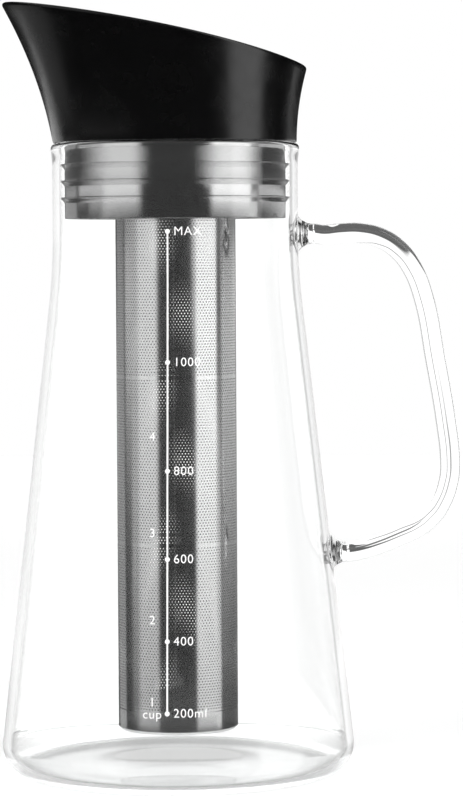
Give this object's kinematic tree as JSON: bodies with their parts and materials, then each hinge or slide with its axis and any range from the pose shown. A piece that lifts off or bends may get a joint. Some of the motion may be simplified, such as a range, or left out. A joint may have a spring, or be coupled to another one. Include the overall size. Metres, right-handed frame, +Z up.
{
  "type": "glass coffee pot",
  "caption": "Conical glass coffee pot with a bent rod handle, a lift-off pouring lid with a weighted flap, and a hanging perforated filter.",
  "frame": {"origin": "centre of the flat base, where the pot stands", "axes": "+Z up along the pot's axis, +X towards the handle, -X towards the spout, +Y across"},
  "size_m": [0.1496, 0.1146, 0.2495],
  "materials": {
    "clear_glass": "clear borosilicate, polished",
    "black_plastic": "satin moulded black",
    "dark_plastic": "matt moulded dark grey",
    "brushed_steel": "brushed stainless steel",
    "filter_steel": "bright stainless steel, finely perforated on the tube",
    "dark_silicone": "soft matt silicone",
    "clear_silicone": "clear soft silicone"
  },
  "bodies": {
    "carafe": {"glass_body": "clear_glass", "glass_handle": "clear_glass"},
    "filter": {"filter_tube": "filter_steel", "filter_top_ring": "filter_steel", "filter_base_cap": "filter_steel"},
    "filter_seal": {"filter_seal_ring": "dark_silicone"},
    "lid": {"spout_funnel": "black_plastic", "collar_sleeve": "brushed_steel", "seal_fin_top": "clear_silicone", "seal_fin_middle": "clear_silicone", "seal_fin_bottom": "clear_silicone", "flap_seat": "dark_plastic", "flap_pin": "filter_steel", "filter_carrier": "dark_plastic"},
    "flap": {"flap_plate": "brushed_steel", "flap_seal": "dark_silicone", "flap_weight": "filter_steel"}
  },
  "joints": [
    {"name": "filter_lift", "type": "slide", "parent": "carafe", "child": "filter", "axis": [0, 0, 1], "range_m": [0, 0.2]},
    {"name": "lid_turn", "type": "hinge", "parent": "filter", "child": "filter_seal", "pos_m": [0, 0, 0.2], "axis": [0, 0, 1], "continuous": true},
    {"name": "lid_lift", "type": "slide", "parent": "filter_seal", "child": "lid", "axis": [0, 0, 1], "range_m": [0, 0.04]},
    {"name": "flap_swing", "type": "hinge", "parent": "lid", "child": "flap", "pos_m": [0.0257, 0, 0.2107], "axis": [0, 1, 0], "range_deg": [0, 50]}
  ]
}
